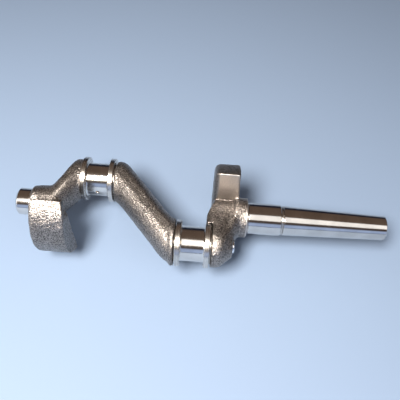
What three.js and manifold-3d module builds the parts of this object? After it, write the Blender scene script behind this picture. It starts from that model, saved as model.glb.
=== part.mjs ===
// A two-throw crankshaft for a small twin-cylinder engine or compressor.
// X is the spin axis, with +X towards the tapered drive end. The two throws lie in the XY plane,
// pin 1 at +Y and pin 2 at -Y. The origin is on the spin axis, halfway along the shaft.
// Millimetres throughout.

import * as THREE from "three";
import { mergeVertices } from "three/addons/utils/BufferGeometryUtils.js";
import Module from "manifold-3d";

const wasm = await Module();
wasm.setup();

// Driving dimensions: throw, and diameters halved
const THROW = 39;
const PIN_R = 19;
const COLLAR_R = 25.25;
const NECK_R = 20.5; // tool run-out groove beside each collar
const WEB_R = 22.5; // rounded ends and edges of the cast webs
const END_JOURNAL_R = 15;
const END_BOSS_R = 18.75;
const HUB_R = 19.5; // cast hub inside each outer web
const DRIVE_BOSS_R = 22;
const MAIN_JOURNAL_R = 17.5;
const RELIEF_R = 16.1;
const TAPER_LARGE_R = 16.5;
const TAPER_SMALL_R = 13.5;

// Stations along the spin axis, from the plain end to the drive end
const X = {
  tail: -206,
  endShoulder: -189,
  endWeight: -178,
  endWeightInner: -141.5,
  collar1: -140,
  pin1: -134.5,
  collar2: -109,
  neck2: -103.5,
  centreWeb: -102,
  neck3: -27,
  collar3: -25.5,
  pin2: -20,
  collar4: 5.5,
  neck4: 11,
  driveWeb: 13,
  driveWeight: 11.5,
  driveWeightOuter: 39,
  driveShoulder: 50.5,
  relief: 88.5,
  taper: 91,
  tip: 206,
};

// Counterweights: circle segments about the spin axis, cut flat on the side of the throw
const END_WEIGHT = { radius: 53.5, cut: 27 };
const DRIVE_WEIGHT = { radius: 58.5, cut: 14.5 };
const WEIGHT_EDGE = 3; // rounding of the cast edges
const END_LINK = { from: -176, to: -154, top: -8, half: 15.5 }; // iron between hub and weight
const PLUG_CONE = { from: 23.5, to: 35.8, tip: 12 }; // blunt end of the web round the plug

// Oil way: a radial hole in each pin, on the side of the spin axis, and the gallery's end plug
const OIL_HOLE = { radius: 1.75, depth: 12 };
const PLUG = { seat: 28, head: 38, radius: 7, gap: 0.3, socket: 3.2, socketDepth: 4 };
const CENTRE_HOLE = { radius: 4, tip: 1, depth: 9 }; // 60 degree centres in both ends

const SEAT_STEP = 0.3; // a bearing or thrust face starts this far outside its journal
const ROUND = 56; // segments round a turned surface
const ARC = 20; // segments round each half of a cast section
const RIM = 40; // segments along a counterweight's rim
const EDGE_STEPS = 3;

const machined = (color) => new THREE.MeshStandardMaterial({ color, roughness: 0.25, metalness: 1 });
const cast = (color) => new THREE.MeshStandardMaterial({ color, roughness: 0.6, metalness: 0.8 });
const GROUND = machined(0xc9c4ba);
const TURNED = machined(0xb5ada0);
const CAST = cast(0x5e554c);
const STEEL = machined(0x8f8f8f);

// ---- Solids ---------------------------------------------------------------------------------

function toManifold(geometry) {
  const bare = new THREE.BufferGeometry();
  const loose = geometry.index ? geometry.toNonIndexed() : geometry;
  bare.setAttribute("position", loose.getAttribute("position").clone());
  const merged = mergeVertices(bare, 1e-4);
  return new wasm.Manifold(
    new wasm.Mesh({
      numProp: 3,
      vertProperties: merged.attributes.position.array,
      triVerts: new Uint32Array(merged.index.array),
    }),
  );
}

function toGeometry(manifold) {
  const mesh = manifold.getMesh();
  const geometry = new THREE.BufferGeometry();
  geometry.setAttribute("position", new THREE.BufferAttribute(mesh.vertProperties, 3));
  geometry.setIndex(new THREE.BufferAttribute(mesh.triVerts, 1));
  const loose = geometry.toNonIndexed();
  loose.computeVertexNormals();
  return loose;
}

const cut = (body, ...tools) =>
  toGeometry(tools.reduce((left, tool) => left.subtract(toManifold(tool)), toManifold(body)));
const join = (body, other) => toGeometry(toManifold(body).add(toManifold(other)));

// Spins [x, radius] points about the X axis; y moves the axis to a throw.
function turned(profile, y = 0, segments = ROUND) {
  const first = [profile[0][0], 0];
  const last = [profile.at(-1)[0], 0];
  const points = [first, ...profile, last].map(([x, r]) => new THREE.Vector2(r, x));
  return new THREE.LatheGeometry(points, segments).rotateZ(-Math.PI / 2).translate(0, y, 0);
}

// A block between two corners.
function block(low, high) {
  const size = high.map((value, i) => value - low[i]);
  const middle = high.map((value, i) => (value + low[i]) / 2);
  return new THREE.BoxGeometry(...size).translate(...middle);
}

// 0 before a, 1 after b, and an S-curve between them.
function ramp(x, a, b) {
  const t = THREE.MathUtils.clamp((x - a) / (b - a), 0, 1);
  return t * t * (3 - 2 * t);
}

// Straight between a and b, with both corners eased over a length.
function slope(x, a, b, ease) {
  const soft = (t) => 0.5 * (t + Math.sqrt(t * t + ease * ease));
  return (soft(x - a) - soft(x - b)) / (b - a);
}

// A cast web: at each x its section is two half circles of one radius joined by straight sides,
// the upper centred at y = top and the lower at y = bottom.
function webOf(from, to, steps, section) {
  const rings = [];
  for (let i = 0; i <= steps; i++) {
    const x = from + ((to - from) * i) / steps;
    const { top, bottom, radius } = section(x);
    const ring = [];
    for (let k = 0; k <= ARC; k++) {
      const a = (Math.PI * k) / ARC;
      ring.push([x, top + radius * Math.sin(a), radius * Math.cos(a)]);
    }
    for (let k = 0; k <= ARC; k++) {
      const a = Math.PI + (Math.PI * k) / ARC;
      ring.push([x, bottom - 1e-3 + radius * Math.sin(a), radius * Math.cos(a)]);
    }
    rings.push(ring);
  }
  return lofted(rings);
}

// Closes a row of equal rings into a skin with a fan over each end.
function lofted(rings) {
  const count = rings[0].length;
  const position = [];
  const put = (...corners) => corners.forEach((corner) => position.push(...corner));
  const centre = (ring) => [0, 1, 2].map((i) => ring.reduce((sum, p) => sum + p[i], 0) / count);
  rings.slice(1).forEach((ring, i) => {
    const last = rings[i];
    for (let k = 0; k < count; k++) {
      const n = (k + 1) % count;
      put(last[k], ring[n], last[n]);
      put(last[k], ring[k], ring[n]);
    }
  });
  for (const [ring, flip] of [[rings[0], false], [rings.at(-1), true]]) {
    const middle = centre(ring);
    for (let k = 0; k < count; k++) {
      const pair = [ring[k], ring[(k + 1) % count]];
      put(middle, ...(flip ? pair.reverse() : pair));
    }
  }
  const geometry = new THREE.BufferGeometry();
  geometry.setAttribute("position", new THREE.Float32BufferAttribute(position, 3));
  geometry.computeVertexNormals();
  return geometry;
}

// A counterweight: the part of a disc beyond its flat cut, on the +Y side. Each ring is the same
// outline, drawn in towards the end faces by a quarter circle so that the cast edges are round.
function segmentOf(from, to, { radius, cut: flat }, edge) {
  const rings = [];
  const ringAt = (x, inset) => {
    const r = radius - inset;
    const half = Math.acos((flat + inset) / r);
    const ring = [];
    for (let k = 0; k <= RIM; k++) {
      const a = half - (2 * half * k) / RIM;
      ring.push([x, r * Math.cos(a), r * Math.sin(a)]);
    }
    rings.push(ring);
  };
  for (let k = 0; k <= EDGE_STEPS; k++) {
    const a = (Math.PI / 2) * (k / EDGE_STEPS);
    ringAt(from + edge * (1 - Math.cos(a)), edge * (1 - Math.sin(a)));
  }
  for (let k = EDGE_STEPS; k >= 0; k--) {
    const a = (Math.PI / 2) * (k / EDGE_STEPS);
    ringAt(to - edge * (1 - Math.cos(a)), edge * (1 - Math.sin(a)));
  }
  return lofted(rings);
}

// ---- The crank, from the plain end to the drive end -----------------------------------------

const part = new THREE.Group();

function add(name, geometry, material) {
  const mesh = new THREE.Mesh(geometry, material);
  mesh.name = name;
  part.add(mesh);
}

// A centre hole in the end face at x = face: a 60 degree cone, then a small drilled pilot.
function centreHole(face, inward) {
  const cone = (CENTRE_HOLE.radius - CENTRE_HOLE.tip) * Math.sqrt(3);
  const profile = [
    [face - inward, CENTRE_HOLE.radius + 1 / Math.sqrt(3)],
    [face + inward * cone, CENTRE_HOLE.tip],
    [face + inward * CENTRE_HOLE.depth, CENTRE_HOLE.tip],
  ];
  return turned(inward > 0 ? profile : profile.reverse(), 0, 24);
}

// The radial oil hole in a pin at y: side is +1 where the spin axis lies towards +Y.
function oilHole(from, to, y, side) {
  const middle = (from + to) / 2;
  return new THREE.CylinderGeometry(OIL_HOLE.radius, OIL_HOLE.radius, 2 * OIL_HOLE.depth, 20)
    .translate(middle, y + side * PIN_R, 0);
}

add(
  "end_journal",
  cut(
    turned([
      [X.tail, END_JOURNAL_R - 2],
      [X.tail + 2, END_JOURNAL_R],
      [X.endShoulder, END_JOURNAL_R],
    ]),
    centreHole(X.tail, 1),
  ),
  GROUND,
);

add(
  "end_boss",
  turned([
    [X.endShoulder, END_JOURNAL_R + SEAT_STEP],
    [X.endShoulder, END_BOSS_R - 0.8],
    [X.endShoulder + 0.8, END_BOSS_R],
    [X.endWeight, HUB_R],
  ]),
  CAST,
);

// The end web is a bar that leans from the hub up to pin 1. A short link below the hub carries the
// counterweight.
const endWebSection = (x) => ({
  top: THROW * slope(x, -169, -150, 3),
  bottom: THROW * slope(x, -166, -143, 3),
  radius: HUB_R + (WEB_R - HUB_R) * ramp(x, -170, -150),
});
const endLink = block(
  [END_LINK.from, -END_WEIGHT.cut, -END_LINK.half],
  [END_LINK.to, END_LINK.top, END_LINK.half],
);
add("end_web", join(webOf(X.endWeight, X.collar1, 16, endWebSection), endLink), CAST);

add(
  "end_counterweight",
  segmentOf(X.endWeight, X.endWeightInner, END_WEIGHT, WEIGHT_EDGE).rotateX(Math.PI),
  CAST,
);

// Each collar's two faces are rings outside the pin, with their edges broken.
const collar = (from, to, y) =>
  turned(
    [
      [from, PIN_R + SEAT_STEP],
      [from, COLLAR_R - 0.5],
      [from + 0.5, COLLAR_R],
      [to - 0.5, COLLAR_R],
      [to, COLLAR_R - 0.5],
      [to, PIN_R + SEAT_STEP],
    ],
    y,
  );

add("pin_1_outer_collar", collar(X.collar1, X.pin1, THROW), TURNED);
const pinOf = (from, to, y) => turned([[from, PIN_R], [to, PIN_R]], y);
add("crank_pin_1", cut(pinOf(X.pin1, X.collar2, THROW), oilHole(X.pin1, X.collar2, THROW, -1)), GROUND);
add("pin_1_inner_collar", collar(X.collar2, X.neck2, THROW), TURNED);
add("pin_1_neck", turned([[X.neck2, NECK_R], [X.centreWeb, NECK_R]], THROW), TURNED);

const centreWebSection = (x) => ({
  top: THROW - 2 * THROW * slope(x, -92, -29.5, 5),
  bottom: THROW - 2 * THROW * slope(x, -100, -35.5, 5),
  radius: WEB_R + 0.5,
});
add("centre_web", webOf(X.centreWeb, X.neck3, 24, centreWebSection), CAST);

add("pin_2_neck", turned([[X.neck3, NECK_R], [X.collar3, NECK_R]], -THROW), TURNED);
add("pin_2_inner_collar", collar(X.collar3, X.pin2, -THROW), TURNED);
add("crank_pin_2", cut(pinOf(X.pin2, X.collar4, -THROW), oilHole(X.pin2, X.collar4, -THROW, 1)), GROUND);
add("pin_2_outer_collar", collar(X.collar4, X.neck4, -THROW), TURNED);
add("drive_neck", turned([[X.neck4, NECK_R], [X.driveWeb, NECK_R]], -THROW), TURNED);

const driveWebSection = (x) => ({
  top: 0,
  bottom: -THROW * (1 - slope(x, 25, 42, 3)),
  radius: WEB_R - (WEB_R - HUB_R) * ramp(x, 16, 32),
});
const plugCone = turned(
  [
    [X.driveWeb, WEB_R],
    [PLUG_CONE.from, WEB_R],
    [PLUG_CONE.to, PLUG_CONE.tip],
  ],
  -THROW,
);
const driveArm = join(webOf(X.driveWeb, X.driveWeightOuter, 14, driveWebSection), plugCone);
const aboveDriveCut = block([0, DRIVE_WEIGHT.cut, -80], [100, 120, 80]);
const plugRoom = turned([[PLUG.seat, PLUG.radius + PLUG.gap], [60, PLUG.radius + PLUG.gap]], -THROW, 32);
add("drive_web", cut(driveArm, aboveDriveCut, plugRoom), CAST);

// The plug's hexagon socket is a six-sided turned hole.
add(
  "oil_gallery_plug",
  cut(
    turned(
      [
        [PLUG.seat, PLUG.radius],
        [PLUG.head - 0.8, PLUG.radius],
        [PLUG.head, PLUG.radius - 0.8],
      ],
      -THROW,
      32,
    ),
    turned([[PLUG.head - PLUG.socketDepth, PLUG.socket], [PLUG.head + 1, PLUG.socket]], -THROW, 6),
  ),
  STEEL,
);
add(
  "drive_counterweight",
  segmentOf(X.driveWeight, X.driveWeightOuter, DRIVE_WEIGHT, WEIGHT_EDGE),
  CAST,
);
add(
  "drive_boss",
  turned([
    [X.driveWeightOuter, DRIVE_BOSS_R],
    [X.driveShoulder - 0.8, DRIVE_BOSS_R],
    [X.driveShoulder, DRIVE_BOSS_R - 0.8],
    [X.driveShoulder, MAIN_JOURNAL_R + SEAT_STEP],
  ]),
  CAST,
);

add("main_journal", turned([[X.driveShoulder, MAIN_JOURNAL_R], [X.relief, MAIN_JOURNAL_R]]), GROUND);
add("relief_groove", turned([[X.relief, RELIEF_R], [X.taper, RELIEF_R]]), TURNED);
add(
  "drive_taper",
  cut(
    turned([
      [X.taper, TAPER_LARGE_R],
      [X.tip - 1, TAPER_SMALL_R],
      [X.tip, TAPER_SMALL_R - 1],
    ]),
    centreHole(X.tip, -1),
  ),
  GROUND,
);

export default part;
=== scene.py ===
# %% [markdown]
# # A two-throw crankshaft
# The crank is one iron casting whose journals, pins and collars are turned and ground bright.
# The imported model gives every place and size; this script makes the fine surfaces and their finish.

# %% Load the frame
import math

import bpy
import numpy as np
from mathutils import Matrix, Vector


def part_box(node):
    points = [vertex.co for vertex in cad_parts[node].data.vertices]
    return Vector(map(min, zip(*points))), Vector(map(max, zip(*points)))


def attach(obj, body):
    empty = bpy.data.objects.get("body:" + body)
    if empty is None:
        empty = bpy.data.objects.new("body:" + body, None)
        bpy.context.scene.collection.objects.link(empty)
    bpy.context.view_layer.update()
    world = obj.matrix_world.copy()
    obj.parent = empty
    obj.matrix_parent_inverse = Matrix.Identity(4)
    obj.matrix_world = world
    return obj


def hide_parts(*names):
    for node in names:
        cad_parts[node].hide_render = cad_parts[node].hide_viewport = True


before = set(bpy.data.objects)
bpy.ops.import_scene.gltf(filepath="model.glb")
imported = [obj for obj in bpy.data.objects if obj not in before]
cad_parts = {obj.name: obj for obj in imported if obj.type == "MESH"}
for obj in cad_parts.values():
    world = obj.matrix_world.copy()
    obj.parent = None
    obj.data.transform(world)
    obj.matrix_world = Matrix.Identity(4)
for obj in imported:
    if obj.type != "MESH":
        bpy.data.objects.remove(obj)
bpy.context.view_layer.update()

MM = 0.001  # shapes are worked out in millimetres and stored in metres
BODY = "root"
print("nodes in the frame:", len(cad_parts))

# %% [markdown]
# ## Places and sizes
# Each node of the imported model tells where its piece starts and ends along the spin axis, and how
# thick it is. Only what a box can't tell, such as where a web starts to lean, is given again below.


# %% Read sizes from the frame
def low(node):
    """A node's lowest corner in millimetres."""
    return np.array(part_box(node)[0]) / MM


def high(node):
    """A node's highest corner in millimetres."""
    return np.array(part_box(node)[1]) / MM


def span(node):
    """Where a node starts and ends along the spin axis."""
    return low(node)[0], high(node)[0]


def radius(node):
    """A round node's largest radius, from its height."""
    return (high(node)[2] - low(node)[2]) / 2


THROW = (low("crank_pin_1")[1] + high("crank_pin_1")[1]) / 2
PIN_R = radius("crank_pin_1")
COLLAR_R = radius("pin_1_outer_collar")
WEB_R = radius("centre_web") - 0.5
HUB_R = radius("end_boss")
FLOOR = low("drive_counterweight")[2]
print("throw", round(THROW, 2), "pin radius", round(PIN_R, 2), "floor", round(FLOOR, 2))

# %% [markdown]
# ## The camera
# The view looks down on the throws from the front, close enough for strong perspective.

# %% Place the camera
VIEW = {"azimuth": -0.33, "elevation": 54.12, "roll": 4.05, "distance": 545.9}
AIM = Vector((-2.83, 13.17, 9.53)) * MM
FOCAL_SHARE = 483.15 / 400  # focal length over the width of the picture


def camera_axes(azimuth, elevation, roll):
    """Right, up and forward of a camera that looks along +Y at azimuth 0, tipped down by the
    elevation and then turned about its own line of sight by the roll."""
    a, e, r = (math.radians(v) for v in (azimuth, elevation, roll))
    forward = Vector((math.sin(a) * math.cos(e), math.cos(a) * math.cos(e), -math.sin(e)))
    level = Vector((math.cos(a), -math.sin(a), 0))
    above = level.cross(forward)
    right = level * math.cos(r) + above * math.sin(r)
    return right, right.cross(forward), forward


right, up, forward = camera_axes(VIEW["azimuth"], VIEW["elevation"], VIEW["roll"])
camera_data = bpy.data.cameras.new("camera")
camera_data.sensor_width = 36
camera_data.lens = 36 * FOCAL_SHARE
camera_data.clip_start = 0.01
camera = bpy.data.objects.new("camera", camera_data)
turn = Matrix((right, up, -forward)).transposed()
camera.matrix_world = Matrix.Translation(AIM - forward * VIEW["distance"] * MM) @ turn.to_4x4()
bpy.context.scene.collection.objects.link(camera)
bpy.context.scene.camera = camera
print("camera at", [round(v, 3) for v in camera.matrix_world.translation])

# %% [markdown]
# ## Node materials
# A small helper keeps the node code short: it makes a node, sets its values and joins its inputs.


# %% Material helpers
def new_material(name):
    """A material with an empty node tree, its Principled shader and its output."""
    material = bpy.data.materials.new(name)
    material.use_nodes = True
    tree = material.node_tree
    tree.nodes.clear()
    shader = tree.nodes.new("ShaderNodeBsdfPrincipled")
    output = tree.nodes.new("ShaderNodeOutputMaterial")
    tree.links.new(shader.outputs[0], output.inputs[0])
    return material, tree, shader


def node(tree, kind, settings=None, **inputs):
    """Adds a node. Settings are its properties; inputs are numbers, colours or sockets, and i0, i1
    and so on name an input by its place."""
    made = tree.nodes.new("ShaderNode" + kind)
    for key, value in (settings or {}).items():
        setattr(made, key, value)
    for key, value in inputs.items():
        by_number = key[0] == "i" and key[1:].isdigit()
        slot = made.inputs[int(key[1:]) if by_number else key.replace("_", " ")]
        if isinstance(value, bpy.types.NodeSocket):
            tree.links.new(value, slot)
        else:
            slot.default_value = value
    return made


def ramp(tree, factor, stops):
    """A colour ramp through (position, grey or colour) stops."""
    made = tree.nodes.new("ShaderNodeValToRGB")
    tree.links.new(factor, made.inputs[0])
    elements = made.color_ramp.elements
    while len(elements) < len(stops):
        elements.new(0.5)
    for element, (place, value) in zip(elements, stops):
        element.position = place
        element.color = (value, value, value, 1) if isinstance(value, float) else (*value, 1)
    return made.outputs[0]


def noise(tree, vector, scale, detail=3.0, roughness=0.55):
    """Fractal noise, as its factor socket."""
    made = node(tree, "TexNoise", i0=vector, Scale=scale, Detail=detail, Roughness=roughness)
    return made.outputs[0]


# %% [markdown]
# ## The cast skin
# The casting has been shot blasted: a dark, slightly brown metal with a pebbled grain that
# catches the light in small specks. The coarse grain is in the mesh; the fine grain is bump.


# %% Cast iron
GRAIN_SCALES = {"pebbles": 830.0, "grit": 1900.0, "patches": 45.0}  # noise cells per metre
DARK_IRON, LIGHT_IRON = (0.29, 0.255, 0.228), (0.41, 0.37, 0.34)
GROUND_IRON = (0.52, 0.48, 0.445)
PEBBLE_BUMP, GRIT_BUMP = 0.0006, 0.00015  # metres


def cast_iron():
    """The skin attribute is 1 on the cast skin and 0 where the iron has been ground flat."""
    material, tree, shader = new_material("cast_iron_skin")
    place = node(tree, "TexCoord").outputs["Object"]
    skin = node(tree, "Attribute", {"attribute_name": "skin"}).outputs["Fac"]
    pebbles = noise(tree, place, GRAIN_SCALES["pebbles"], 2.0, 0.55)
    grit = noise(tree, place, GRAIN_SCALES["grit"], 2.0, 0.5)
    patches = noise(tree, place, GRAIN_SCALES["patches"], 3.0, 0.5)
    cast_tone = ramp(tree, patches, [(0.3, DARK_IRON), (0.7, LIGHT_IRON)])
    ground_tone = (*GROUND_IRON, 1)
    tone = node(tree, "Mix", {"data_type": "RGBA"}, i0=skin, i6=ground_tone, i7=cast_tone).outputs[2]
    pits = ramp(tree, pebbles, [(0.42, 0.25), (0.56, 1.0)])
    multiply = {"data_type": "RGBA", "blend_type": "MULTIPLY"}
    colour = node(tree, "Mix", multiply, i0=skin, i6=tone, i7=pits)
    rough = ramp(tree, grit, [(0.3, 0.40), (0.7, 0.28)])
    coarse = node(tree, "Bump", Strength=skin, Distance=PEBBLE_BUMP, Height=pebbles)
    under = coarse.outputs[0]
    fine = node(tree, "Bump", Strength=0.6, Distance=GRIT_BUMP, Height=grit, Normal=under)
    tree.links.new(colour.outputs[2], shader.inputs["Base Color"])
    tree.links.new(rough, shader.inputs["Roughness"])
    tree.links.new(fine.outputs[0], shader.inputs["Normal"])
    shader.inputs["Metallic"].default_value = 0.95
    return material


# %% [markdown]
# ## Turned and ground steel
# A lathe tool leaves fine rings round the axis, and a grinding wheel leaves finer ones. Both
# patterns depend only on the place along the axis and the distance from it, so the material
# centres its coordinates on the axis of the journal that it covers.


# %% Machined finishes
RING_BUMP = 0.00005  # metres


def machined(name, axis_y, colour, roughness, pitch, depth):
    """Bright metal with tool rings about the line y = axis_y: noise that is fine along the axis
    and along the radius, and almost even round the axis."""
    material, tree, shader = new_material(name)
    place = node(tree, "TexCoord").outputs["Object"]
    split = node(tree, "SeparateXYZ", i0=place)
    y = node(tree, "Math", {"operation": "SUBTRACT"}, i0=split.outputs[1], i1=axis_y * MM)
    square_y = node(tree, "Math", {"operation": "MULTIPLY"}, i0=y.outputs[0], i1=y.outputs[0])
    square_z = node(tree, "Math", {"operation": "MULTIPLY"}, i0=split.outputs[2], i1=split.outputs[2])
    square = node(tree, "Math", {"operation": "ADD"}, i0=square_y.outputs[0], i1=square_z.outputs[0])
    rho = node(tree, "Math", {"operation": "SQRT"}, i0=square.outputs[0])
    both = node(tree, "CombineXYZ", i0=split.outputs[0], i1=rho.outputs[0])
    rings = noise(tree, both.outputs[0], 1 / (pitch * MM), 4.0, 0.65)
    stains = noise(tree, place, 60.0, 3.0, 0.5)
    rough = node(
        tree, "MapRange", i0=rings, i1=0.3, i2=0.7, i3=roughness * 0.7, i4=roughness * 1.3
    )
    dull, clean = (tuple(c * share for c in colour) for share in (0.9, 1.05))
    tone = ramp(tree, stains, [(0.35, dull), (0.65, clean)])
    bump = node(tree, "Bump", Strength=depth, Distance=RING_BUMP, Height=rings)
    tree.links.new(tone, shader.inputs["Base Color"])
    tree.links.new(rough.outputs[0], shader.inputs["Roughness"])
    tree.links.new(bump.outputs[0], shader.inputs["Normal"])
    shader.inputs["Metallic"].default_value = 1.0
    return material


CAST = cast_iron()
GROUND_COLOUR = (0.70, 0.66, 0.61)
TURNED_COLOUR = (0.62, 0.58, 0.53)
PLUG_COLOUR = (0.75, 0.75, 0.76)
FINISH = {}
for tag, throw in {"main": 0.0, "pin_1": THROW, "pin_2": -THROW}.items():
    FINISH["ground_steel", throw] = machined("ground_" + tag, throw, GROUND_COLOUR, 0.13, 0.35, 0.25)
    FINISH["turned_steel", throw] = machined("turned_" + tag, throw, TURNED_COLOUR, 0.24, 0.55, 0.6)
FINISH["plug_steel", -THROW] = machined("plug_pin_2", -THROW, PLUG_COLOUR, 0.2, 0.4, 0.4)
print("materials:", [m.name for m in bpy.data.materials])

# %% [markdown]
# ## Turned pieces
# A lathe makes every bright piece, so each one is a profile spun round its axis. The profile's
# corners are small arcs, because a real edge is always broken by a file or a chamfer tool.

# %% A profile with round corners
ROUND_STEPS = 6
AROUND = 160


def rounded(points):
    """Points are (x, r, corner radius). Each corner becomes an arc that touches both sides, and a
    point is added just outside it so that the flats keep flat shading."""
    xy = np.array([p[:2] for p in points], float)
    out = [xy[0]]
    for i in range(1, len(points) - 1):
        size = points[i][2]
        before, here, after = xy[i - 1], xy[i], xy[i + 1]
        if size <= 0:
            out.append(here)
            continue
        a = (before - here) / np.linalg.norm(before - here)
        b = (after - here) / np.linalg.norm(after - here)
        half = math.acos(np.clip(a @ b, -1, 1)) / 2
        reach = min(size / math.tan(half), 0.45 * np.linalg.norm(before - here))
        reach = min(reach, 0.45 * np.linalg.norm(after - here))
        start, end = here + a * reach, here + b * reach
        centre = here + (a + b) / np.linalg.norm(a + b) * reach / math.cos(half)
        turn = np.linspace(0, 1, ROUND_STEPS + 1)[:, None]
        swing = math.pi - 2 * half
        u, v = start - centre, end - centre
        arc = (np.sin((1 - turn) * swing) * u + np.sin(turn * swing) * v) / math.sin(swing) + centre
        out.append(start + a * min(0.15, 0.3 * reach))
        out.extend(arc)
        out.append(end + b * min(0.15, 0.3 * reach))
    out.append(xy[-1])
    return np.array(out)


# %% [markdown]
# The spun surface is a grid: one parameter runs along the profile and the other round the axis.


# %% Spin a profile into a closed mesh
def mesh_object(name, points, faces, material, smooth=True):
    """Puts points in millimetres and faces into a new object that rides on the crank."""
    mesh = bpy.data.meshes.new(name)
    mesh.from_pydata((np.asarray(points) * MM).tolist(), [], faces)
    mesh.shade_smooth() if smooth else mesh.shade_flat()
    mesh.materials.append(material)
    mesh.update()
    made = bpy.data.objects.new(name, mesh)
    bpy.context.scene.collection.objects.link(made)
    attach(made, BODY)
    return made


def spin(profile, axis_y=0.0, around=None, reshape=None):
    """x stays, and the radius turns: (x, axis_y + r cos a, r sin a). The first and last profile
    points lie on the axis and become one point each. Returns points and faces."""
    angles = np.linspace(0, 2 * math.pi, AROUND, endpoint=False) if around is None else around
    body = profile[1:-1]
    x = np.repeat(body[:, :1], len(angles), axis=1)
    r = np.repeat(body[:, 1:], len(angles), axis=1)
    if reshape is not None:
        r = reshape(x, r, angles[None, :])
    grid = np.stack([x, axis_y + r * np.cos(angles), r * np.sin(angles)], axis=-1)
    rows, columns = grid.shape[:2]
    tips = [[profile[0][0], axis_y, 0], [profile[-1][0], axis_y, 0]]
    points = np.vstack([grid.reshape(-1, 3), tips])
    index = np.arange(rows * columns).reshape(rows, columns)
    near, far = index[:-1], index[1:]
    quads = np.stack([near, far, np.roll(far, -1, 1), np.roll(near, -1, 1)], axis=-1)
    first, last = rows * columns, rows * columns + 1
    start = np.stack([np.full(columns, first), index[0], np.roll(index[0], -1)], axis=-1)
    end = np.stack([np.full(columns, last), np.roll(index[-1], -1), index[-1]], axis=-1)
    faces = []
    for part in (quads.reshape(-1, 4), start, end):
        faces += part[:, ::-1].tolist()
    return points, faces


def turned(name, points, slot, axis_y=0.0, **more):
    """A turned piece that replaces the frame's node of the same name. Its outline is closed
    straight down to the axis at both ends."""
    profile = rounded([(points[0][0], 0, 0), *points, (points[-1][0], 0, 0)])
    grid, faces = spin(profile, axis_y, **more)
    made = mesh_object(name + "_turned", grid, faces, FINISH[slot, axis_y])
    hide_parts(name)
    print(name, "has", len(faces), "faces")


# %% [markdown]
# ### Journals and the taper
# Both ends carry a 60 degree centre, the small cone in which the shaft turned while it was ground.

# %% Journals
CENTRE = {"mouth": 4.0, "pilot": 1.0, "deep": 9.0}
CONE = (CENTRE["mouth"] - CENTRE["pilot"]) * math.sqrt(3)
TAPER_SMALL_R = 13.5
RUN_OUT = {"start": 2.2, "wide": 1.9, "deep": 0.4}  # relief for the wheel beside a shoulder


def centred_end(face, inward):
    """Profile points of a centre hole in the end face, from its bottom out to its mouth."""
    return [
        (face + inward * CENTRE["deep"], CENTRE["pilot"], 0.2),
        (face + inward * CONE, CENTRE["pilot"], 0.2),
        (face, CENTRE["mouth"], 0.3),
    ]


x0, x1 = span("end_journal")
r = radius("end_journal")
turned(
    "end_journal",
    [*centred_end(x0, 1), (x0, r - 2, 0.5), (x0 + 2, r, 0.6), (x1 - RUN_OUT["start"], r, 0.2)]
    + [(x1 - RUN_OUT["wide"], r - RUN_OUT["deep"], 0.1), (x1, r - RUN_OUT["deep"], 0)],
    "ground_steel",
)
x0, x1 = span("main_journal")
r = radius("main_journal")
turned(
    "main_journal",
    [(x0, r - RUN_OUT["deep"], 0), (x0 + RUN_OUT["wide"], r - RUN_OUT["deep"], 0.1)]
    + [(x0 + RUN_OUT["start"], r, 0.2), (x1 - 0.8, r, 0.3), (x1, r - 0.8, 0.1)],
    "ground_steel",
)
x0, x1 = span("relief_groove")
r = radius("relief_groove")
turned("relief_groove", [(x0, r, 0), (x1, r, 0)], "turned_steel")
x0, x1 = span("drive_taper")
large = radius("drive_taper")
turned(
    "drive_taper",
    [(x0, large - 0.7, 0), (x0 + 0.7, large, 0.3)]
    + [(x1 - 1, TAPER_SMALL_R, 0.5), (x1, TAPER_SMALL_R - 1, 0.3)]
    + centred_end(x1, -1)[::-1],
    "ground_steel",
)

# %% [markdown]
# ### Crank pins
# A pin runs into its collars through a small fillet, because a sharp corner there would crack.
# The oil hole is a dent in the spun surface: the radius drops steeply inside a small circle.

# %% Pins with fillets and oil holes
FILLET = 1.6
OIL = {"radius": 1.9, "deep": 7.0, "lip": 0.7, "sink": 0.35, "wall": 0.25}
PIN_AROUND = 220
BUNCHING = 0.9
NEAR_SIDE = 1.5  # radians: past this the hole is out of reach round the pin
OUT_OF_REACH = 99.0


def pin_angles(hole_angle):
    """Angles round the pin, packed closely where the oil hole is: an even sweep plus a slow wave
    that bunches the samples at the hole."""
    even = np.linspace(-math.pi, math.pi, PIN_AROUND, endpoint=False)
    return even - BUNCHING * np.sin(even) + hole_angle


def oil_dent(middle, hole_angle):
    """How the radius drops inside the hole: nothing outside it, the full depth within, and a
    countersunk lip in between."""

    def reshape(x, r, angle):
        away = (angle - hole_angle + math.pi) % (2 * math.pi) - math.pi
        sideways = PIN_R * np.sin(np.clip(away, -NEAR_SIDE, NEAR_SIDE))
        gap = np.where(np.abs(away) > NEAR_SIDE, OUT_OF_REACH, np.hypot(x - middle, sideways))
        lip = np.clip((OIL["radius"] + OIL["lip"] - gap) / OIL["lip"], 0, 1)
        well = np.clip((OIL["radius"] - gap) / OIL["wall"], 0, 1)
        return r - OIL["sink"] * lip**2 - OIL["deep"] * well * well * (3 - 2 * well)

    return reshape


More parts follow.
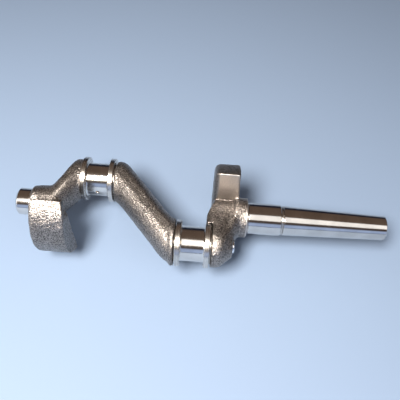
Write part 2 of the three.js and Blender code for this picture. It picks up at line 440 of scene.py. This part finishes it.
for pin, axis_y in (("crank_pin_1", THROW), ("crank_pin_2", -THROW)):
    x0, x1 = span(pin)
    middle = (x0 + x1) / 2
    hole_angle = math.pi if axis_y > 0 else 0.0
    corner = np.linspace(0, math.pi / 2, 8)
    left_x = x0 + FILLET * (1 - np.sin(corner))[::-1]
    left = np.stack([left_x, PIN_R + FILLET * (1 - np.cos(corner))[::-1]], 1)
    fine = middle + np.concatenate([[-9, -5, -3.2], np.linspace(-2.6, 2.6, 53), [3.2, 5, 9]])
    barrel = np.stack([fine, np.full_like(fine, PIN_R)], 1)
    right_side = left[::-1] * [-1, 1] + [x0 + x1, 0]
    profile = np.vstack([[[x0, 0]], left, barrel, right_side, [[x1, 0]]])
    grid, faces = spin(profile, axis_y, pin_angles(hole_angle), oil_dent(middle, hole_angle))
    made = mesh_object(pin + "_ground", grid, faces, FINISH["ground_steel", axis_y])
    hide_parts(pin)
    print(pin, "has", len(faces), "faces")

# %% [markdown]
# ### Collars and run-out necks
# Each pin is held between two thin collars. Their faces take the side thrust of the rod. Behind
# three of them the tool ran out into the cast web and left a narrow neck.

# %% Collars and necks
COLLARS = {
    "pin_1_outer_collar": THROW,
    "pin_1_inner_collar": THROW,
    "pin_2_inner_collar": -THROW,
    "pin_2_outer_collar": -THROW,
}
for collar, axis_y in COLLARS.items():
    x0, x1 = span(collar)
    turned(collar, [(x0, COLLAR_R, 0.7), (x1, COLLAR_R, 0.7)], "turned_steel", axis_y)
for neck, axis_y in {"pin_1_neck": THROW, "pin_2_neck": -THROW, "drive_neck": -THROW}.items():
    x0, x1 = span(neck)
    r = radius(neck)
    turned(neck, [(x0, r, 0), (x1, r, 0)], "turned_steel", axis_y)

# %% [markdown]
# ### The oil gallery's plug
# A bright screwed plug with a hexagon socket closes the gallery on the drive side.

# %% Plug
x0, x1 = span("oil_gallery_plug")
r = radius("oil_gallery_plug")
SOCKET = 3.2


def six_sided(x, r, angle):
    """Inside the socket, a hexagon's radius is its half width over the cosine of the angle from
    the middle of the nearest flat."""
    sixth = math.pi / 3
    off = (angle + sixth / 2) % sixth - sixth / 2
    flat = SOCKET * math.cos(sixth / 2) / np.cos(off)
    return np.where((r < SOCKET + 0.05) & (r > 0.5), flat * r / SOCKET, r)


turned(
    "oil_gallery_plug",
    [(x0, r, 0.2), (x1 - 0.8, r, 0.2), (x1, r - 0.8, 0.2), (x1, SOCKET + 0.4, 0.05)]
    + [(x1 - 0.4, SOCKET, 0.0), (x1 - 4, SOCKET, 0.0)],
    "plug_steel",
    -THROW,
    reshape=six_sided,
)

# %% [markdown]
# ## Castings
# A casting has no sharp inside corner: its hub, web and counterweight flow into one another. The
# plain way to model that is a field, a number at each point of space that is negative inside the
# iron. Joining two shapes takes the smaller of their fields, and a soft minimum rounds the corner
# between them just as a pattern maker's wax fillet does.

# %% Fields
def soft_min(a, b, size):
    """The smaller of two fields, rounded where they are closer than size."""
    h = np.clip(0.5 + 0.5 * (b - a) / size, 0, 1)
    return b + (a - b) * h - size * h * (1 - h)


def soft_max(a, b, size):
    """The larger of two fields, rounded where they are closer than size."""
    return -soft_min(-a, -b, size)


def step(x, a, b):
    """0 before a, 1 after b and an S-curve between."""
    t = np.clip((x - a) / (b - a), 0, 1)
    return t * t * (3 - 2 * t)


def slope(x, a, b, ease):
    """Straight from 0 at a to 1 at b, with both corners eased."""

    def bend(t):
        return 0.5 * (t + np.sqrt(t * t + ease * ease))

    return (bend(x - a) - bend(x - b)) / (b - a)


def obround(y, z, top, bottom, r):
    """Distance outside two half circles of radius r joined by straight sides."""
    nearest = np.clip(y, np.minimum(top, bottom), np.maximum(top, bottom))
    return np.hypot(y - nearest, z) - r


# %% [markdown]
# The zero level of a field becomes a mesh by surface nets: each small cube that the surface
# crosses gets one point, the mean of the crossings on its edges, and each crossed edge gets the
# face that joins its four cubes. A few Newton steps then put every point exactly on the surface.


# %% Surface nets
def surface_nets(field, corner, far_corner, cell):
    """Points and quads on field = 0, worked out for the whole box at once."""
    axes = [np.arange(a, b + cell, cell) for a, b in zip(corner, far_corner)]
    where = np.stack(np.meshgrid(*axes, indexing="ij"), -1)
    value = field(where)
    cubes = np.array(value.shape) - 1
    total, count = np.zeros((*cubes, 3)), np.zeros(cubes)
    quads = []
    for axis in range(3):
        others = [i for i in range(3) if i != axis]
        start = np.take(value, range(cubes[axis]), axis)
        end = np.take(value, range(1, cubes[axis] + 1), axis)
        cross = (start < 0) != (end < 0)
        share = np.where(cross, start / np.where(cross, start - end, 1), 0)
        hit = np.take(where, range(cubes[axis]), axis).copy()
        hit[..., axis] += share * cell
        hit *= cross[..., None]
        for i in (0, 1):
            for j in (0, 1):
                window = [slice(None)] * 3
                window[others[0]] = slice(i, i + cubes[others[0]])
                window[others[1]] = slice(j, j + cubes[others[1]])
                total += hit[tuple(window)]
                count += cross[tuple(window)]
        edge = np.argwhere(cross)
        inner = np.all([(edge[:, o] > 0) & (edge[:, o] < cubes[o]) for o in others], axis=0)
        edge = edge[inner]
        ring = []
        for i, j in ((0, 0), (-1, 0), (-1, -1), (0, -1)):
            cell_at = edge.copy()
            cell_at[:, others[0]] += i
            cell_at[:, others[1]] += j
            ring.append(np.ravel_multi_index(cell_at.T, cubes))
        ring = np.stack(ring, 1)
        outward = (start[tuple(edge.T)] < 0) == (axis != 1)
        quads.append(np.where(outward[:, None], ring, ring[:, ::-1]))
    used = count.reshape(-1) > 0
    points = total.reshape(-1, 3)[used] / count.reshape(-1)[used, None]
    renumber = np.cumsum(used) - 1
    return points, renumber[np.vstack(quads)]


def gradient(field, points, reach=0.05):
    """The field's slope along each axis, from points a small reach to both sides."""
    steps = np.eye(3) * reach
    return np.stack([(field(points + s) - field(points - s)) / (2 * reach) for s in steps], -1)


def settle(field, points, rounds=4, limit=0.6):
    """Newton steps towards field = 0, none longer than the limit."""
    for _ in range(rounds):
        slope_here = gradient(field, points)
        steepness = np.maximum((slope_here**2).sum(-1, keepdims=True), 1e-6)
        move = field(points)[:, None] * slope_here / steepness
        length = np.maximum(np.linalg.norm(move, axis=1, keepdims=True), 1e-9)
        points = points - move * np.minimum(1, limit / length)
    return points


# %% [markdown]
# Shot blasting leaves dimples one to three millimetres across. They are a sum of plane waves of
# those lengths in random directions, which gives an even, blotchy relief with no grid in it.

# %% Pebbled grain
random = np.random.default_rng(7)


def wave_set(count, shortest, longest):
    """Random directions, wavelengths and phases for a relief."""
    direction = random.normal(size=(count, 3))
    direction /= np.linalg.norm(direction, axis=1, keepdims=True)
    length = random.uniform(shortest, longest, (count, 1))
    return direction * 2 * math.pi / length, random.uniform(0, 2 * math.pi, count)


GRAIN = wave_set(70, 1.8, 3.4)
SWELL = wave_set(24, 9.0, 26.0)


def relief(points, waves):
    """The sum of the waves at each point, scaled to a spread of about one."""
    vectors, phases = waves
    total = np.zeros(len(points))
    for vector, phase in zip(vectors, phases):
        total += np.cos(points @ vector + phase)
    return total * math.sqrt(2 / len(phases))


CELL = 0.62
GRAIN_DEPTH = 0.08
SWELL_DEPTH = 0.12


def casting(name, field, corner, far_corner, nodes, bare=None):
    """Meshes a field, roughens it and lets it stand for its nodes. Where bare(points) is 1 the
    face has been machined and stays smooth."""
    points, quads = surface_nets(field, corner, far_corner, CELL)
    points = settle(field, points)
    normal = gradient(field, points)
    normal /= np.maximum(np.linalg.norm(normal, axis=1, keepdims=True), 1e-9)
    rough = 1.0 if bare is None else 1 - bare(points)
    lift = GRAIN_DEPTH * relief(points, GRAIN) + SWELL_DEPTH * relief(points, SWELL)
    points = points + normal * (lift * rough)[:, None]
    made = mesh_object(name, points, quads.tolist(), CAST)
    skin = made.data.attributes.new("skin", "FLOAT", "POINT")
    skin.data.foreach_set("value", np.broadcast_to(rough, len(points)).astype(np.float32))
    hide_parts(*nodes)
    print(name, "has", len(quads), "faces")


# %% [markdown]
# ### The plain end: boss, web and counterweight
# A hub on the spin axis leans up to pin 1, and the counterweight hangs on the other side. Box
# modelling would leave a seam where they meet, so they are one field with soft joins.

# %% End casting
EVEN_OUT = {"end": 0.75, "centre": 0.66, "drive": 0.8}  # a leaning bar's field grows too fast
END_LEAN = {"top": (-169, -150), "bottom": (-166, -143), "ease": 3}
END_LINK = {"narrower": 4, "flare": 0.3, "top": 6, "inset": 12.5, "past_cut": 8}
END_TRIM = {"tilt": 0.3, "back": 3.6, "from": 20, "to": 34, "even_out": 0.96}
END_ROOM = (-192, -57, -51), (-138, 66, 51)
END = {
    "shoulder": low("end_boss")[0],
    "weight": span("end_counterweight"),
    "cut": -high("end_counterweight")[1],
    "rim": -low("end_counterweight")[1],
    "face": high("end_web")[0],
}


def end_field(p):
    """The softly joined union of the leaning web, its link and the counterweight."""
    x, y, z = p[..., 0], p[..., 1], p[..., 2]
    # The hub, and the web that leans from it up to the pin
    top = THROW * slope(x, *END_LEAN["top"], END_LEAN["ease"])
    bottom = THROW * slope(x, *END_LEAN["bottom"], END_LEAN["ease"])
    r = HUB_R + (WEB_R - HUB_R) * step(x, -170, -150) - 0.75 * (1 - step(x, END["shoulder"], -178))
    web = obround(y, z, top, bottom, r) * EVEN_OUT["end"]
    # A link that widens from the hub down to the counterweight
    width = HUB_R - END_LINK["narrower"] + END_LINK["flare"] * np.clip(-y - 4, 0, 30)
    link = np.maximum(np.abs(z) - width, y + END_LINK["top"])
    link = np.maximum(link, x - END["weight"][1] + END_LINK["inset"])
    link = np.maximum(link, END["weight"][0] + 2 - x)
    web = soft_min(web, np.maximum(link, -y - END["cut"] - END_LINK["past_cut"]), 5.0)
    web = soft_max(web, END["shoulder"] - x, 1.2)
    web = soft_max(web, x - END["face"], 1.2)
    # The counterweight: a disc about the spin axis, cut flat on the side of the throw
    disc = np.hypot(y, z) - END["rim"]
    weight = soft_max(disc, y + END["cut"], 2.0)
    weight = soft_max(weight, END["weight"][0] - x, 4.0)
    weight = soft_max(weight, x - END["weight"][1], 2.0)
    # One corner is trimmed back a little beside the cut
    trim = x - END["weight"][1] + END_TRIM["tilt"] * (y + END["cut"])
    trim = trim + END_TRIM["back"] * step(z, END_TRIM["from"], END_TRIM["to"])
    weight = soft_max(weight, trim * END_TRIM["even_out"], 1.5)
    return soft_min(web, weight, 2.5)


def end_bare(p):
    """The shoulder face against the bearing."""
    return 1 - step(p[:, 0], END["shoulder"] + 0.6, END["shoulder"] + 2.0)


casting(
    "end_casting",
    end_field,
    *END_ROOM,
    ("end_boss", "end_web", "end_counterweight"),
    end_bare,
)

# %% [markdown]
# ### The long centre web
# A round bar slopes from one pin to the other and swells into a boss beside pin 2's collar. A
# swept tube would pinch where it bends, so the bar is a field whose middle line moves with x.

# %% Centre web
CENTRE_WEB = span("centre_web")
CENTRE_LEAN = {"top": (-92, -29.5), "bottom": (-100, -35.5), "ease": 5}
CENTRE_ROOM = (-104, -66, -27), (-24, 66, 27)


def centre_field(p):
    """The softly joined union of the sloping bar and the boss beside pin 2's collar."""
    x, y, z = p[..., 0], p[..., 1], p[..., 2]
    top = THROW - 2 * THROW * slope(x, *CENTRE_LEAN["top"], CENTRE_LEAN["ease"])
    bottom = THROW - 2 * THROW * slope(x, *CENTRE_LEAN["bottom"], CENTRE_LEAN["ease"])
    bar = obround(y, z, top, bottom, WEB_R + 0.5) * EVEN_OUT["centre"]
    boss = np.hypot(y + THROW, z) - COLLAR_R + 0.8
    boss = soft_max(boss, CENTRE_WEB[1] - 4 - x, 3.0)
    bar = soft_min(bar, boss, 4.0)
    bar = soft_max(bar, CENTRE_WEB[0] - x + 1.5 * step(y, THROW, THROW + 20), 1.6)
    return soft_max(bar, x - CENTRE_WEB[1], 1.6)


casting("centre_casting", centre_field, *CENTRE_ROOM, ("centre_web",))

# %% [markdown]
# ### The drive side: web, counterweight and boss
# The web rises from pin 2 to the main bearing's boss, the counterweight stands beyond it, and a
# blunt cone surrounds the plug. Clearances are cut by subtracting fields.

# %% Drive casting
DRIVE = {
    "web": span("drive_web"),
    "weight": span("drive_counterweight"),
    "cut": low("drive_counterweight")[1],
    "rim": high("drive_counterweight")[1],
    "boss": radius("drive_boss"),
    "shoulder": high("drive_boss")[0],
    "seat": low("oil_gallery_plug")[0],
    "plug": radius("oil_gallery_plug"),
}
PLUG_CONE = {"start": 23.5, "taper": 0.85, "even_out": 0.76, "reach": 7.8}
SPOT_FACE = {"wider": 2.2, "depth": 6.8}
PLUG_GAP = 0.25
DRAFT = {"rate": 0.08, "from": 48, "most": 40}
DRIVE_ROOM = (4, -66, -62), (53, 62, 62)


def drive_field(p):
    """The softly joined union of web, cone, boss and counterweight, less the clearances."""
    x, y, z = p[..., 0], p[..., 1], p[..., 2]
    about_pin = np.hypot(y + THROW, z)
    bottom = -THROW * (1 - slope(x, 25, 42, 3))
    r = WEB_R - (WEB_R - HUB_R) * np.maximum(step(x, 16, 32), step(y, -30, -5))
    r = r - 1.4 * step(y, 0, 12)
    web = obround(y, z, 0 * x, bottom, r) * EVEN_OUT["drive"]
    # Round the plug the web's end stands out as a blunt cone
    cone = about_pin - WEB_R + PLUG_CONE["taper"] * (x - PLUG_CONE["start"])
    cone = soft_max(cone * PLUG_CONE["even_out"], about_pin - WEB_R, 4.0)
    cone = soft_max(cone, x - DRIVE["seat"] - PLUG_CONE["reach"], 2.0)
    web = soft_min(web, cone, 5.0)
    # On the pin's side it leans out over the collar
    web = soft_max(web, (DRIVE["web"][0] - 7 * (1 - step(y, -16, 12)) - x) * 0.85, 1.6)
    web = soft_max(web, x - DRIVE["shoulder"], 1.0)
    boss = soft_max(np.hypot(y, z) - DRIVE["boss"], x - DRIVE["shoulder"], 0.6)
    boss = soft_max(boss, DRIVE["weight"][1] - 3 - x, 4.0)
    disc = np.hypot(y, z) - DRIVE["rim"]
    weight = soft_max(disc, DRIVE["cut"] - y, 2.0)
    weight = soft_max(weight, DRIVE["weight"][0] - x, 8.0)
    draft = DRAFT["rate"] * np.clip(DRAFT["from"] - np.hypot(y, z), 0, DRAFT["most"])
    weight = soft_max(weight, x - DRIVE["weight"][1] - draft, 2.0)
    whole = soft_min(soft_min(web, weight, 0.8), boss, 2.5)
    # The tool that turned the outer collar cleared the casting beside it
    cleared = np.maximum(about_pin - COLLAR_R - 0.4, x - DRIVE["web"][0])
    whole = soft_max(whole, -cleared, 1.8)
    # A spot face and a hole take the plug
    spot_side = about_pin - DRIVE["plug"] - SPOT_FACE["wider"]
    spot = np.maximum(spot_side, DRIVE["seat"] + SPOT_FACE["depth"] - x)
    hole = np.maximum(about_pin - DRIVE["plug"] - PLUG_GAP, DRIVE["seat"] - x)
    return soft_max(whole, -np.minimum(spot, hole), 0.5)


def drive_bare(p):
    """The shoulder face against the main bearing, and the ground flat of the counterweight."""
    shoulder = step(p[:, 0], DRIVE["shoulder"] - 2.0, DRIVE["shoulder"] - 0.6)
    flat = 1 - step(np.abs(p[:, 1] - DRIVE["cut"]), 0.3, 1.6)
    flat *= step(np.hypot(p[:, 1], p[:, 2]), HUB_R - 1.0, HUB_R + 0.5) * 0.7
    return np.maximum(shoulder, flat)


casting(
    "drive_casting",
    drive_field,
    *DRIVE_ROOM,
    ("drive_web", "drive_counterweight", "drive_boss"),
    drive_bare,
)

# %% [markdown]
# ## Floor and light
# A plain pale blue floor, soft panels above, in front and at the left, and a dim warm room. Bright
# metal shows whatever surrounds it, so the panels are the white bands along each journal, the
# floor is the blue below them, and the dim room is the brown above them.

# %% Floor
PAPER_COLOUR = (0.18, 0.24, 0.34)


def floor_paper():
    """Plain matt paper, all of one pale blue."""
    material, _, shader = new_material("floor_paper")
    shader.inputs["Base Color"].default_value = (*PAPER_COLOUR, 1)
    shader.inputs["Roughness"].default_value = 0.8
    return material


FLOOR_HALF = 6.0
FLOOR_GAP = 0.0003
SQUARE = [(-1, -1), (1, -1), (1, 1), (-1, 1)]
corners = [(x * FLOOR_HALF, y * FLOOR_HALF, FLOOR * MM - FLOOR_GAP) for x, y in SQUARE]
sheet = bpy.data.meshes.new("floor")
sheet.from_pydata(corners, [], [(0, 1, 2, 3)])
sheet.materials.append(floor_paper())
floor = bpy.data.objects.new("floor", sheet)
bpy.context.scene.collection.objects.link(floor)
print("floor at", round(FLOOR * MM - FLOOR_GAP, 4))


# %% Lights
def panel(name, direction, distance, width, depth, watts, colour, shift=0.0):
    """An elliptical area light in a direction from the crank, facing it, wide along X and moved
    along X by the shift."""
    data = bpy.data.lights.new(name, "AREA")
    data.shape = "ELLIPSE"
    data.size, data.size_y = width, depth
    data.energy = watts
    data.color = colour
    made = bpy.data.objects.new(name, data)
    away = Vector(direction).normalized()
    across = Vector((1, 0, 0))
    upward = away.cross(across).normalized()
    across = upward.cross(away)
    turn = Matrix((across, upward, away)).transposed()
    made.matrix_world = Matrix.Translation(away * distance + Vector((shift, 0, 0))) @ turn.to_4x4()
    bpy.context.scene.collection.objects.link(made)
    print(name, "at", watts, "watts")


WIDE_TIP = math.radians(64)  # the wide panel's height above the horizon, on the camera's side
wide_direction = (0.0, -math.cos(WIDE_TIP), math.sin(WIDE_TIP))
COOL, WARM, NEUTRAL = (0.97, 0.98, 1.0), (1.0, 0.95, 0.88), (1.0, 0.98, 0.95)
panel("wide_key", wide_direction, 1.3, width=2.3, depth=0.92, watts=6.5, colour=COOL, shift=0.25)
panel("hot_key", (-0.25, -0.46, 0.85), 1.2, width=0.36, depth=0.5, watts=43.0, colour=WARM)
panel("left_key", (-0.9, -0.3, 0.3), 1.1, width=0.7, depth=0.6, watts=4.5, colour=NEUTRAL)

# %% World
ROOM_TONES = [  # round the spin axis, as a share of half a turn, from the front horizon over to the back
    (0.0, (0.42, 0.56, 0.90)),
    (0.115, (0.40, 0.52, 0.80)),
    (0.15, (0.06, 0.045, 0.04)),
    (0.5, (0.125, 0.087, 0.066)),
    (0.84, (0.115, 0.08, 0.062)),
    (0.91, (0.012, 0.016, 0.03)),
]
BACKDROP = (0.02, 0.045, 0.14, 1)
world = bpy.data.worlds.new("room")
bpy.context.scene.world = world
world.use_nodes = True
room = world.node_tree
room.nodes.clear()
look = node(room, "SeparateXYZ", i0=room.nodes.new("ShaderNodeTexCoord").outputs["Generated"])
front = node(room, "Math", {"operation": "MULTIPLY"}, i0=look.outputs[1], i1=-1.0)
swing = node(room, "Math", {"operation": "ARCTAN2"}, i0=look.outputs[2], i1=front.outputs[0])
share = node(room, "Math", {"operation": "DIVIDE"}, i0=swing.outputs[0], i1=math.pi)
walls = ramp(room, share.outputs[0], ROOM_TONES)
seen = node(room, "Background", i0=walls, i1=1.0)
backdrop = node(room, "Background", i0=BACKDROP, i1=1.0)
ray = room.nodes.new("ShaderNodeLightPath")
direct = ray.outputs["Is Camera Ray"]
choice = node(room, "MixShader", i0=direct, i1=seen.outputs[0], i2=backdrop.outputs[0])
world_output = room.nodes.new("ShaderNodeOutputWorld")
room.links.new(choice.outputs[0], world_output.inputs[0])
bpy.context.scene.view_settings.view_transform = "Standard"
print("room has", len(room.nodes), "nodes")
